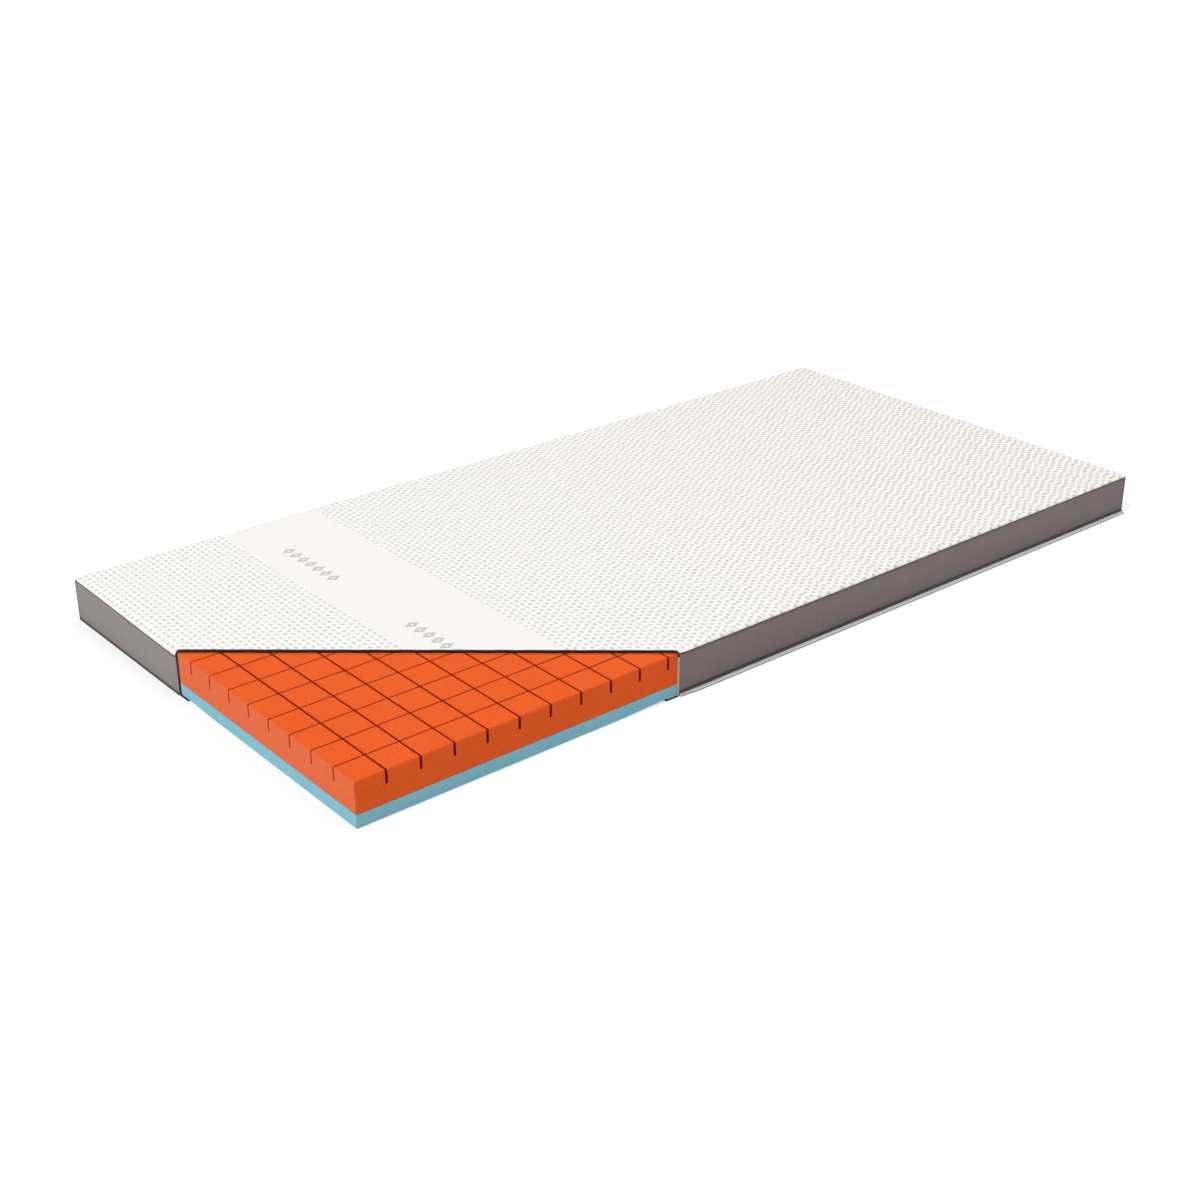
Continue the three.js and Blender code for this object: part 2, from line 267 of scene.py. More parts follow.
def scatter(p, t, n, b, template, faces, size=1.0):
    """Copies of a small template (along t, outwards n, up b) at every point p."""
    local = np.array(template)[None] * size
    points = p[:, None]
    for k, way in enumerate((t, n, b)):
        points = points + local[..., k:k + 1] * np.broadcast_to(way, p.shape)[:, None]
    offsets = np.arange(len(p)) * len(template)
    all_faces = []
    for face in faces:
        all_faces += (np.array(face)[None] + offsets[:, None]).tolist()
    return points.reshape(-1, 3), all_faces


SIDES = 6  # of every stitch and zip element
AROUND = [(math.cos(a), math.sin(a)) for a in (2 * math.pi * k / SIDES for k in range(SIDES))]


def thread(length, thick):
    """One stitch: a short bulging thread that dives into the cloth at both ends."""
    stations = [(-0.5, 0.35, -0.5), (-0.36, 0.85, 0.2), (0, 1, 0.42), (0.36, 0.85, 0.2), (0.5, 0.35, -0.5)]
    points = [(x * length, thick * (lift + 0.5 * r * c), thick * 0.5 * r * s)
              for x, r, lift in stations for c, s in AROUND]
    return points, tube_faces(len(stations), SIDES)


def stitches(name, lines, body, material, length=3.2, gap=1.3, thick=0.65):
    """Rows of stitches. Each line is the positions of a dense polyline, and the way or ways out."""
    template, faces = thread(length, thick)
    rows = []
    for points, outwards in lines:
        s = np.concatenate([[0], np.cumsum(np.linalg.norm(np.diff(points, axis=0), axis=1))])
        count = max(1, int(s[-1] / (length + gap)))
        middle = (np.arange(count) + 0.5) * s[-1] / count

        def at(where, values=points, s=s):
            return np.stack([np.interp(where, s, values[:, k]) for k in range(3)], -1)

        t = unit(at(middle + 0.6) - at(middle - 0.6))
        n = at(middle, np.broadcast_to(outwards, points.shape))
        rows.append((at(middle), t, unit(n - t * (t * n).sum(1)[:, None])))
    p, t, n = (np.concatenate(parts) for parts in zip(*rows))
    size = np.stack([rng.uniform(0.9, 1.06, len(p)), rng.uniform(0.85, 1.15, len(p)), np.ones(len(p))], -1)
    shape = scatter(p, t, n, np.cross(t, n), template, faces, size[:, None])
    return piece(name, shape, body, material)


# ---- material helpers ----


def shade(colour, factor):
    """A colour made lighter or darker."""
    return tuple(min(1.0, c * factor) for c in colour)


class Nodes:
    """A material whose Principled shader is fed by procedural nodes in the row frame's metres."""

    def __init__(self, name, roughness=0.9, sheen=0.0, metallic=0.0, specular=0.3):
        self.material = bpy.data.materials.new(name)
        self.material.use_nodes = True
        self.tree = self.material.node_tree
        self.inputs = self.tree.nodes["Principled BSDF"].inputs
        self.inputs["Roughness"].default_value = roughness
        self.inputs["Metallic"].default_value = metallic
        self.inputs["Specular IOR Level"].default_value = specular
        self.inputs["Sheen Weight"].default_value = sheen
        self.inputs["Sheen Roughness"].default_value = 0.6
        self.place = self.add("ShaderNodeTexCoord").outputs["Object"]
        self.x, self.y, self.z = self.add("ShaderNodeSeparateXYZ", [self.place]).outputs

    def add(self, kind, values=(), **settings):
        """A node. values are its first inputs in order, or a dict of inputs by number or name."""
        made = self.tree.nodes.new(kind)
        for key, value in settings.items():
            setattr(made, key, value)
        for key, value in (values.items() if isinstance(values, dict) else enumerate(values)):
            self.set(made.inputs[key], value)
        return made

    def set(self, socket, value):
        if hasattr(value, "is_output"):
            self.tree.links.new(value, socket)
        elif socket.type == "RGBA":
            socket.default_value = (*value, 1)
        else:
            socket.default_value = value

    def math(self, operation, a, b=0.0, c=0.0, clamp=False):
        return self.add("ShaderNodeMath", (a, b, c), operation=operation, use_clamp=clamp).outputs[0]

    plus, minus = partialmethod(math, "ADD"), partialmethod(math, "SUBTRACT")
    times, over = partialmethod(math, "MULTIPLY"), partialmethod(math, "DIVIDE")
    size, square = partialmethod(math, "ABSOLUTE"), partialmethod(math, "POWER", b=2.0)

    def nearest(self, value):
        """The nearest whole number, and how far value is above it."""
        whole = self.math("ROUND", value)
        return whole, self.minus(value, whole)

    def middle(self, value):
        """How far value is above the middle between two whole numbers."""
        return self.minus(self.math("FRACT", value), 0.5)

    def ramp(self, value, low, high, out_low=0.0, out_high=1.0, smoothly=True):
        how = "SMOOTHSTEP" if smoothly else "LINEAR"
        values = (value, low, high, out_low, out_high)
        return self.add("ShaderNodeMapRange", values, interpolation_type=how).outputs[0]

    def mix(self, factor, a, b):
        return self.add("ShaderNodeMix", {0: factor, 6: a, 7: b}, data_type="RGBA").outputs[2]

    def layers(self, base, *layers):
        """base under several (strength, colour) layers."""
        for strength, colour in layers:
            base = self.mix(strength, base, colour)
        return base

    def noise(self, scale, detail=2.0, rough=0.5, stretch=None):
        source = self.place
        if stretch:
            source = self.add("ShaderNodeMapping", {"Vector": source, "Scale": stretch}).outputs[0]
        values = {"Vector": source, "Scale": scale, "Detail": detail, "Roughness": rough}
        return self.add("ShaderNodeTexNoise", values).outputs["Fac"]

    def cells(self, scale):
        return self.add("ShaderNodeTexVoronoi", {"Vector": self.place, "Scale": scale}).outputs["Distance"]

    def wave(self, value, pitch):
        """A sine from 0 to 1 that repeats every pitch metres."""
        turned = self.math("MULTIPLY_ADD", value, 2 * math.pi / pitch)
        return self.math("MULTIPLY_ADD", self.math("SINE", turned), 0.5, 0.5)

    def finish(self, colour, roughness=None, bumps=()):
        """Feeds the shader and gives the material. bumps are (height, metres) and are added up."""
        self.set(self.inputs["Base Color"], colour)
        if roughness:
            self.set(self.inputs["Roughness"], self.ramp(*roughness, False))
        if bumps:
            first, *others = [self.times(height, depth) for height, depth in bumps]
            for other in others:
                first = self.plus(first, other)
            made = self.add("ShaderNodeBump", {"Strength": 1.0, "Distance": 1.0, "Height": first})
            self.set(self.inputs["Normal"], made.outputs[0])
        return self.material


def knit_courses(m, pitch):
    """Tiny loops of a knitted cloth that lies flat: columns of V-shaped stitches."""
    inside = m.size(m.middle(m.over(m.x, pitch)))
    row = m.math("MULTIPLY_ADD", inside, 0.9, m.over(m.y, pitch * 0.8))
    loops = m.size(m.middle(row))
    return m.times(m.times(loops, 2.0), m.ramp(inside, 0.0, 0.5, 1.0, 0.2))


# The cover's knit: rows of tucked dots whose sideways steps repeat every five rows.
DOT_PITCH, ROW_PITCH, ROW_START = 16.75, 12.57, 11.6
DOT_STEPS = (0.735, 0.618, 0.176, 0.676, 0.206)
# A plain band crosses it near the foot, with groups of diamonds on it.
BAND_LOW, BAND_HIGH = -685.0, -468.0
MOTIF_PITCH, MOTIF_X, MOTIF_Y, DIAMOND_PITCH = 427.0, -244.0, -622.0, 27.0


def knit_dots(m, towards_head):
    """The tucked dots, drawn taller towards the head."""
    index, v = m.nearest(m.math("MULTIPLY_ADD", m.y, 1 / (ROW_PITCH * MM), -ROW_START / ROW_PITCH))
    count = len(DOT_STEPS)
    phase = m.over(m.plus(m.math("FLOORED_MODULO", index, count), 0.5), count)
    steps = m.add("ShaderNodeValToRGB", [phase])
    steps.color_ramp.interpolation = "CONSTANT"
    elements = steps.color_ramp.elements
    while len(elements) < count:
        elements.new(0.5)
    for k, step in enumerate(DOT_STEPS):
        elements[k].position = k / count
        elements[k].color = (step, step, step, 1)
    wander = m.math("MULTIPLY_ADD", m.noise(26, 1.0), 0.12, -0.06)
    column, u = m.nearest(m.plus(m.minus(m.over(m.x, DOT_PITCH * MM), steps.outputs[0]), wander))
    seed = m.add("ShaderNodeCombineXYZ", [column, index])
    vary = m.add("ShaderNodeTexWhiteNoise", {"Vector": seed.outputs[0]}, noise_dimensions="2D")
    tall = m.math("MULTIPLY_ADD", towards_head, 3.2, 2.9)
    u, v = m.size(m.times(u, DOT_PITCH)), m.size(m.times(v, ROW_PITCH))
    dot = m.ramp(m.plus(m.square(m.over(u, 4.9)), m.square(m.over(v, tall))), 0.25, 1.5, 1.0, 0.0)
    return m.times(dot, m.ramp(vary.outputs["Value"], 0, 1, 0.72, 1.0, False))


def diamonds(m):
    """Groups of outlined diamonds, in the place of lettering."""
    group = m.nearest(m.math("MULTIPLY_ADD", m.x, 1 / (MOTIF_PITCH * MM), -MOTIF_X / MOTIF_PITCH))[1]
    mx = m.times(group, MOTIF_PITCH)
    along_row = m.times(m.nearest(m.over(mx, DIAMOND_PITCH))[1], DIAMOND_PITCH)
    my = m.math("MULTIPLY_ADD", m.y, 1 / MM, -MOTIF_Y)
    diamond = m.plus(m.over(m.size(along_row), 10.5), m.over(m.size(my), 15.0))
    outline = m.times(m.ramp(diamond, 0.28, 0.40), m.ramp(diamond, 0.98, 1.08, 1.0, 0.0))
    return m.times(outline, m.ramp(m.size(mx), 92, 96, 1.0, 0.0))


def make_top_knit():
    m = Nodes("top_knit", roughness=0.88, sheen=0.12, specular=0.2)
    towards_head = m.ramp(m.y, -0.9, 1.0, smoothly=False)
    below = m.ramp(m.y, (BAND_LOW - 3) * MM, (BAND_LOW + 2) * MM, 1.0, 0.0)
    above = m.ramp(m.y, (BAND_HIGH - 2) * MM, (BAND_HIGH + 3) * MM)
    patterned = m.math("ADD", below, above, clamp=True)
    plain = m.minus(1.0, patterned)
    dot = m.times(knit_dots(m, towards_head), patterned)
    motif = m.times(diamonds(m), plain)
    twill = m.times(m.wave(m.plus(m.x, m.times(m.y, 0.9)), 0.0062), plain)
    loops = knit_courses(m, 0.0013)
    fuzz = m.noise(900)
    white = m.mix(towards_head, (0.800, 0.798, 0.775), (0.825, 0.808, 0.775))
    cream = m.mix(m.noise(2.2), (0.785, 0.772, 0.750), (0.81, 0.80, 0.785))
    colour = m.layers(
        white,
        (0.25, cream),
        (m.times(plain, 0.8), (0.805, 0.780, 0.762)),
        (m.times(loops, 0.18), (0.62, 0.61, 0.59)),
        (m.times(twill, 0.07), (0.60, 0.58, 0.56)),
        # the dots' colour is partly the grey yarn in the tucks and partly painted shade of the dimples
        (m.times(dot, 0.84), m.mix(towards_head, (0.50, 0.505, 0.49), (0.50, 0.432, 0.385))),
        (m.times(motif, 0.85), (0.46, 0.445, 0.44)),
    )
    bumps = (dot, -0.0009), (loops, 0.00016), (fuzz, 0.00012), (twill, -0.00014), (motif, 0.0003)
    return m.finish(colour, (fuzz, 0, 1, 0.80, 0.96), bumps)


def make_bottom_knit():
    m = Nodes("bottom_knit", roughness=0.9, sheen=0.1, specular=0.2)
    colour, warm = (0.78, 0.77, 0.75), (0.985, 0.965, 0.93)
    loops = knit_courses(m, 0.0015)
    fuzz = m.noise(700)
    base = m.mix(m.noise(3.5, 3.0), colour, tuple(c * f for c, f in zip(colour, warm)))
    base = m.mix(m.times(loops, 0.35), base, shade(colour, 0.75))
    return m.finish(base, (fuzz, 0, 1, 0.8, 0.97), [(loops, 0.00022), (fuzz, 0.00012)])


def make_border():
    """Ribbed grey cloth: ribs run up the border, with a melange of two yarns."""
    m = Nodes("border_cloth", roughness=0.85, sheen=0.25, specular=0.25)
    grey = (0.151, 0.118, 0.112)
    rib = m.wave(m.plus(m.x, m.y), 0.005)
    weft = m.wave(m.z, 0.0011)
    slub = m.noise(1.0, 3.0, 0.6, stretch=(420, 420, 55))
    speck = m.noise(620, 2.0, 0.6)
    # painted shade and light: the long sides are painted darker and browner, and the foot side lighter and
    # a more neutral grey
    long_sides_painted_shade = m.ramp(m.size(m.x), (HALF_X - 4) * MM, (HALF_X - 1.5) * MM, 0.0, 0.3)
    foot_side_painted_light = m.ramp(m.y, (-HALF_Y + 1.5) * MM, (-HALF_Y + 4) * MM, 0.35, 0.0)
    colour = m.layers(
        m.mix(m.ramp(slub, 0.3, 0.7), shade(grey, 0.70), shade(grey, 1.22)),
        (0.55, grey),
        # painted shade: the valleys between the ribs are painted darker
        (m.ramp(rib, 0.0, 0.45, 0.42, 0.0), shade(grey, 0.5)),
        (m.ramp(speck, 0.55, 0.75, 0.0, 0.3), shade(grey, 1.6)),
        (m.times(m.noise(5), 0.25), (0.235, 0.19, 0.178)),
        # painted shade just above the lower seam, and painted light making the border lighter towards the
        # top
        (m.ramp(m.z, 0.010, 0.022, 0.4, 0.0), shade(grey, 0.66)),
        (m.ramp(m.z, 0.018, 0.080, 0.0, 0.5, False), shade(grey, 1.65)),
        (long_sides_painted_shade, (0.128, 0.082, 0.077)),
        (foot_side_painted_light, (0.230, 0.208, 0.198)),
    )
    bumps = (weft, 0.00016), (slub, 0.00022), (speck, 0.00012), (rib, 0.00025)
    return m.finish(colour, (speck, 0, 1, 0.74, 0.95), bumps)


def make_tape(name, colour, pitch=0.0014, contrast=0.3, roughness=0.85):
    """Woven tape with a herringbone of slanting yarns."""
    m = Nodes(name, roughness=roughness, sheen=0.1, specular=0.25)
    fold = m.size(m.middle(m.over(m.z, pitch * 2)))
    slant = m.wave(m.plus(m.plus(m.x, m.y), m.times(fold, pitch * 2)), pitch)
    fuzz = m.noise(900)
    base = m.mix(m.noise(14), shade(colour, 0.9), shade(colour, 1.06))
    base = m.mix(m.times(slant, contrast), base, shade(colour, 0.55))
    limits = (fuzz, 0, 1, roughness - 0.1, roughness + 0.08)
    return m.finish(base, limits, [(slant, 0.00018), (fuzz, 0.00008)])


# The comfort foam is cut into blocks by slots across the mattress and along it.
comfort_low, comfort_high = box("comfort_foam")
SLOT_PITCH, FIRST_SLOT, SLOT_DEPTH, LAST_BLOCK = 66.0, 60.0, 25.0, 20.0
CROSS_SLOT, LONG_SLOT = 3.6, 2.4  # their widths
FOAM_TOP = comfort_high[2] + 0.2


def slot_shade_layers(m, deep):
    """Layers of painted shade: a deeper, redder colour on the walls of the slots, where little light
    reaches.
    """
    bottom, end_y = FOAM_TOP - SLOT_DEPTH, comfort_high[1] - LAST_BLOCK - 5
    below = m.times(m.ramp(m.z, (FOAM_TOP - 1.6) * MM, (FOAM_TOP - 0.5) * MM, 1.0, 0.0),
                    m.ramp(m.z, (bottom - 1) * MM, bottom * MM))
    below = m.times(below, m.ramp(m.y, (end_y - 1) * MM, end_y * MM, 1.0, 0.0))
    long_slots = (m.x, comfort_high[0] - FIRST_SLOT, LONG_SLOT, 0.7)
    cross_slots = (m.y, comfort_low[1] + FIRST_SLOT, CROSS_SLOT, 0.38)
    for way, first, width, share in (long_slots, cross_slots):
        off = m.size(m.nearest(m.over(m.minus(way, first * MM), SLOT_PITCH * MM))[1])
        reach = width / 2 / SLOT_PITCH
        in_slot = m.times(below, m.ramp(off, reach * 1.25, reach * 1.6, 1.0, 0.0))
        yield m.times(in_slot, 0.95), (1.35 * share * deep[0], 0.4 * share * deep[1], 0.0)


def make_foam(name, colour, pale, deep, lit_foot_colour=None):
    """Open-celled foam: fine pores, a few larger ones, and broad changes of shade.

    lit_foot_colour is painted light: the slotted foam's foot face, which faces the key light, painted a
    paler colour.
    """
    m = Nodes(name, roughness=0.95, sheen=0.03, specular=0.06)
    small, large = m.cells(520.0), m.cells(520.0 * 0.34)
    grain = m.noise(1400, 2.0, 0.7)
    base = m.mix(m.noise(7, 3.0), colour, pale)
    if lit_foot_colour:
        # painted light: the foot face is painted paler than the rest of the foam
        foot = comfort_low[1]
        base = m.mix(m.ramp(m.y, (foot + 0.6) * MM, (foot + 2.2) * MM, 0.9, 0.0), base, lit_foot_colour)
    base = m.layers(
        base,
        (m.ramp(small, 0.16, 0.5, 0.45, 0.0), deep),
        (m.ramp(large, 0.06, 0.22, 0.55, 0.0), deep),
        (m.ramp(grain, 0.5, 0.8, 0.0, 0.4), pale),
        *(slot_shade_layers(m, deep) if lit_foot_colour else ()),
    )
    pores = (m.ramp(small, 0.0, 0.5), 0.00035), (m.ramp(large, 0.0, 0.3), 0.0005), (grain, 0.0002)
    return m.finish(base, bumps=pores)


def make_metal():
    m = Nodes("zip_metal", roughness=0.34, metallic=1.0, specular=0.5)
    scratches = m.noise(1.0, 4.0, 0.7, stretch=(900, 120, 900))
    colour = m.mix(m.noise(260), (0.50, 0.50, 0.51), (0.66, 0.66, 0.67))
    return m.finish(colour, (scratches, 0.3, 0.7, 0.24, 0.46), [(scratches, 0.00002)])


def make_nylon():
    m = Nodes("zip_coil", roughness=0.45, specular=0.4)
    colour = m.mix(m.noise(40), (0.86, 0.855, 0.845), (0.92, 0.915, 0.905))
    return m.finish(colour, (m.noise(1500, 1.0), 0, 1, 0.36, 0.56))


def make_thread(name, colour):
    m = Nodes(name, roughness=0.7, sheen=0.2, specular=0.3)
    twist = m.wave(m.plus(m.plus(m.x, m.y), m.z), 0.0006)
    return m.finish(m.mix(twist, shade(colour, 0.7), colour), bumps=[(twist, 0.00006)])


def make_lining():
    """Non-woven backing of the quilted panel: matted fibres with a grid of small weld points."""
    m = Nodes("lining_cloth", roughness=0.92, sheen=0.05, specular=0.15)
    fibres = m.noise(1.0, 5.0, 0.75, stretch=(260, 700, 400))
    u, v = (m.square(m.size(m.middle(m.over(way, 0.004)))) for way in (m.x, m.y))
    point = m.ramp(m.plus(u, v), 0.02, 0.05, 1.0, 0.0)
    base = m.mix(m.ramp(fibres, 0.3, 0.7), (0.68, 0.675, 0.66), (0.80, 0.795, 0.78))
    base = m.mix(m.times(point, 0.4), base, (0.56, 0.55, 0.53))
    return m.finish(base, bumps=[(fibres, 0.0002), (point, -0.0002)])


top_knit = make_top_knit()
bottom_knit = make_bottom_knit()
border_cloth = make_border()
seam_cloth = make_tape("seam_cloth", (0.052, 0.046, 0.044), contrast=0.5)
dark_tape = make_tape("dark_binding", (0.020, 0.007, 0.006), contrast=0.5)
pale_tape = make_tape("pale_binding", (0.44, 0.385, 0.375))
zip_cloth = make_tape("zip_tape", (0.92, 0.92, 0.91), pitch=0.0011, contrast=0.08)
label_cloth = make_tape("label_cloth", (0.80, 0.80, 0.79), pitch=0.0007, contrast=0.15, roughness=0.6)
orange_foam = make_foam("comfort_foam", (0.735, 0.091, 0.010), (0.748, 0.108, 0.016), (0.46, 0.045, 0.006),
                        lit_foot_colour=(0.685, 0.140, 0.052))
blue_foam = make_foam("base_foam", (0.195, 0.455, 0.555), (0.235, 0.50, 0.585), (0.10, 0.28, 0.36))
metal = make_metal()
nylon = make_nylon()
dark_thread = make_thread("dark_thread", (0.075, 0.066, 0.062))
white_thread = make_thread("white_thread", (0.82, 0.815, 0.80))
# near-black overlock thread, partly a painted contact shadow along the floor
grey_thread = make_thread("grey_thread", (0.045, 0.042, 0.040))
binding_thread = make_thread("binding_thread", (0.045, 0.020, 0.018))
lining_cloth = make_lining()

# ---- foam core ----

base_low, base_high = box("base_foam")


def inset(X, Y):
    """How far inside the grid's outer edge each of its points is."""
    return np.minimum.reduce([X - X.min(), X.max() - X, Y - Y.min(), Y.max() - Y])


def block_lines(start, end, direction, width):
    """Grid lines across the blocks along one axis, and how far each lies below the blocks' tops."""
    edges, middle = [start], start + direction * FIRST_SLOT
    while direction * (end - direction * LAST_BLOCK - middle) > 0:
        edges += [middle - direction * width / 2, middle + direction * width / 2]
        middle += direction * SLOT_PITCH
    edges = sorted([*edges, end])
    slot_edge = [(0, SLOT_DEPTH), (0.03, 1.0), (0.3, 0.35), (1.0, 0.03)]
    outer_edge = [(0, SLOT_DEPTH), (0.05, 2.8), (0.45, 1.3), (1.3, 0.4), (3.0, 0.0)]
    lines = []
    for a, b in zip(edges[::2], edges[1::2]):
        lines += [(a + d, drop) for d, drop in (outer_edge if a == edges[0] else slot_edge)]
        inner = np.linspace(a + 6, b - 6, max(1, int((b - a) / 16)) + 2) if b - a > 20 else [(a + b) / 2]
        lines += [(q, 0.0) for q in inner]
        lines += [(b - d, drop) for d, drop in (outer_edge if b == edges[-1] else slot_edge)[::-1]]
    return np.array(lines).T


def comfort_layer():
    xs, drop_x = block_lines(comfort_high[0], comfort_low[0], -1, LONG_SLOT)
    ys, drop_y = block_lines(comfort_low[1], comfort_high[1], 1, CROSS_SLOT)
    X, Y = np.meshgrid(xs, ys)
    drop_x, drop_y = np.meshgrid(drop_x, drop_y)
    drop = np.maximum(drop_x, drop_y)
    at_corner = (drop < 6) & (np.minimum(drop_x, drop_y) > 0)
    drop = np.where(at_corner, np.minimum(np.hypot(drop_x, drop_y), 6), drop)
    ripple = waves(X + 0.6 * Y, 190, 3) * 0.25 + waves(Y - 0.4 * X, 150, 4) * 0.25
    Z = FOAM_TOP - drop + ripple * (drop < 3)
    # a knife wanders a little, so that the slots aren't quite straight
    loose = smooth(inset(X, Y) / 25) * 0.35
    X = X + loose * waves(Y, 260, 5)
    Y = Y + loose * waves(X, 260, 6)
    points = [np.stack([X, Y, Z], -1).reshape(-1, 3)]
    faces = grid_faces(*X.shape).tolist()
    rim = rim_of(*X.shape)
    top = points[0][rim]
    # the sides go down to the glue line in three steps, and bulge a little at the first
    first_step, bulge, about_middle = 0.45, 0.25, 1.0
    for share in (first_step, 0.85, 1.0):
        level = top.copy()
        level[:, 2] = top[:, 2] + (comfort_low[2] - top[:, 2]) * share
        if share == first_step:
            away = level[:, 0] - about_middle
            level[:, 0] += np.sign(away) * bulge * (np.abs(away) > 480)
        below = np.arange(len(rim)) + sum(map(len, points))
        faces += np.stack([rim, below, np.roll(below, -1), np.roll(rim, -1)], -1).tolist()
        points.append(level)
        rim = below
    faces.append(rim[::-1].tolist())
    made = piece("comfort_foam_blocks", (np.concatenate(points), faces), "mattress_base",
                 orange_foam, ["comfort_foam"], sharp=38)


def base_layer():
    xs, ys = (np.unique(np.concatenate([[a, a + 1.2, b - 1.2, b], np.linspace(a + 6, b - 6, count)]))
              for a, b, count in zip(base_low, base_high, (24, 48)))
    X, Y = np.meshgrid(xs, ys)
    rim_drop = 0.8 * (inset(X, Y) < 0.1)
    # where the cover is cut away the layer sags onto the floor
    sag = 2.9 * smooth((-cut_place(X, Y)[1] - 24) / 60)
    upper = np.stack([X, Y, base_high[2] - rim_drop], -1)
    lower = np.stack([X, Y, base_low[2] + rim_drop - sag], -1)
    made = piece("base_foam_layer", slab(upper, lower), "mattress_base",
                 blue_foam, ["base_foam"], sharp=50)


comfort_layer()
base_layer()

# ---- top panel ----

RIM_Z = top_low[2] - 0.1  # height of the seam line along the panel's edge
ROLL = 15.0  # how far the rolled edge reaches inwards
CROWN = 6.3  # how much higher the panel's middle is than its edge
LINING_Z = top_low[2] + 0.35
BIND_TOP = 90.3  # centre line of the bound edge
BIND_BEND = 8.0
BIND_IN = 2.8  # from the cover's outer face to the bound edge's centre line, along the cut
BIND_BACK = 1.7  # from the cut's plane back to that line


def dimples(X, Y):
    """How deep the knit is tucked in, from 0 to 1."""
    row = (Y - ROW_START) / ROW_PITCH
    index = np.round(row)
    v = (row - index) * ROW_PITCH
    column = X / DOT_PITCH - np.array(DOT_STEPS)[(index % len(DOT_STEPS)).astype(int)]
    u = (column - np.round(column)) * DOT_PITCH
    tuck = np.exp(-((u / 4.3) ** 2 + (v / 3.2) ** 2))
    in_band = smooth((Y - BAND_LOW + 3) / 6) * smooth((BAND_HIGH + 3 - Y) / 6)
    return tuck * (1 - in_band)


def foot_drop(x):
    """How far the foot's top seam has been pulled down, more and more towards the cutaway."""
    return 6.0 * smooth((x + HALF_X) / (CUT_FOOT[0] + HALF_X)) * (x < CUT_FOOT[0] + 5)


def panel_height(X, Y):
    dx, dy = HALF_X - np.abs(X), HALF_Y - np.abs(Y)
    ax, ay = clamp(1 - dx / ROLL), clamp(1 - dy / ROLL)
    rise = np.sqrt(clamp(1 - ax**2)) * np.sqrt(clamp(1 - ay**2))
    inside = smooth(np.minimum(dx, dy) / 9)
    u, behind = cut_place(X, Y)
    pucker = waves(X - Y, 34, 11) * 0.35 * (1 - rise) * clamp(np.minimum(dx, dy) / 3)
    soft = 0.5 * waves(X, 420, 12) * inside + 0.5 * waves(Y, 520, 13) * inside
    height = RIM_Z + CROWN * rise + pucker + soft
    height -= 1.25 * dimples(X, Y) * inside * smooth(behind / 7)
    height -= foot_drop(X) * clamp(1 - (Y + HALF_Y) / ROLL) ** 3
    # the bound edge holds the panel down and pulls its corners in
    in_end = np.minimum(u, CUT_LENGTH - u) - BIND_IN
    in_bend = np.clip(BIND_BEND - in_end, 0, BIND_BEND)
    bend = BIND_BEND - np.sqrt(np.clip(BIND_BEND**2 - in_bend**2, 0, None))
    held = BIND_TOP + 1.5 - bend
    near = smooth(1 - (behind - 2) / 11)
    return height + (np.minimum(height, held) - height) * near


def cut_sheet(X, Y, Z, offset):
    """A bmesh sheet over a grid, without the part beyond the cutaway's plane moved by offset."""
    bm = bmesh.new()
    verts = [bm.verts.new(p) for p in np.stack([X, Y, Z], -1).reshape(-1, 3).tolist()]
    for face in grid_faces(*X.shape).tolist():
        bm.faces.new([verts[i] for i in face])
    edge = CUT_FOOT + corner_side * offset
    bmesh.ops.bisect_plane(bm, geom=bm.verts[:] + bm.edges[:] + bm.faces[:], dist=1e-4,
                           plane_co=edge.tolist(), plane_no=corner_side.tolist(), clear_outer=True)
    return bm


def open_edges(bm):
    return [e for e in bm.edges if e.is_boundary]


def extrude_rim(bm):
    """Extrudes a sheet's open edges and gives the new points."""
    made = bmesh.ops.extrude_edge_only(bm, edges=open_edges(bm))["geom"]
    return [g for g in made if isinstance(g, bmesh.types.BMVert)]


def fill_below(bm):
    bmesh.ops.holes_fill(bm, edges=open_edges(bm), sides=0)
    bmesh.ops.recalc_face_normals(bm, faces=bm.faces)


def close_below(bm, rim_z, under_z, lip=3.8):
    """Turns an open panel into a solid: a wall all round, a lip inside the seam, and a flat underside."""
    for v in extrude_rim(bm):
        at_cut = cut_place(v.co.x, v.co.y)[1] < BINDING
        v.co.z = min(v.co.z - 0.05, under_z if at_cut else rim_z)
    for v in extrude_rim(bm):
        v.co.x = max(-HALF_X + lip, min(HALF_X - lip, v.co.x))
        v.co.y = max(-HALF_Y + lip, min(HALF_Y - lip, v.co.y))
        v.co.z = under_z
    bmesh.ops.remove_doubles(bm, verts=bm.verts, dist=1e-3)
    fill_below(bm)


def whole_steps(limit, step, start=0.0):
    """The whole numbers k for which start + k * step lies between -limit and limit."""
    return np.arange(math.ceil((-limit - start) / step), math.floor((limit - start) / step) + 1)


def with_rim(low, high, rim, inner):
    """Grid lines from low to high: those at rim's distances from both ends, and the inner ones."""
    return np.concatenate([low + rim, inner, (high - rim)[::-1]])


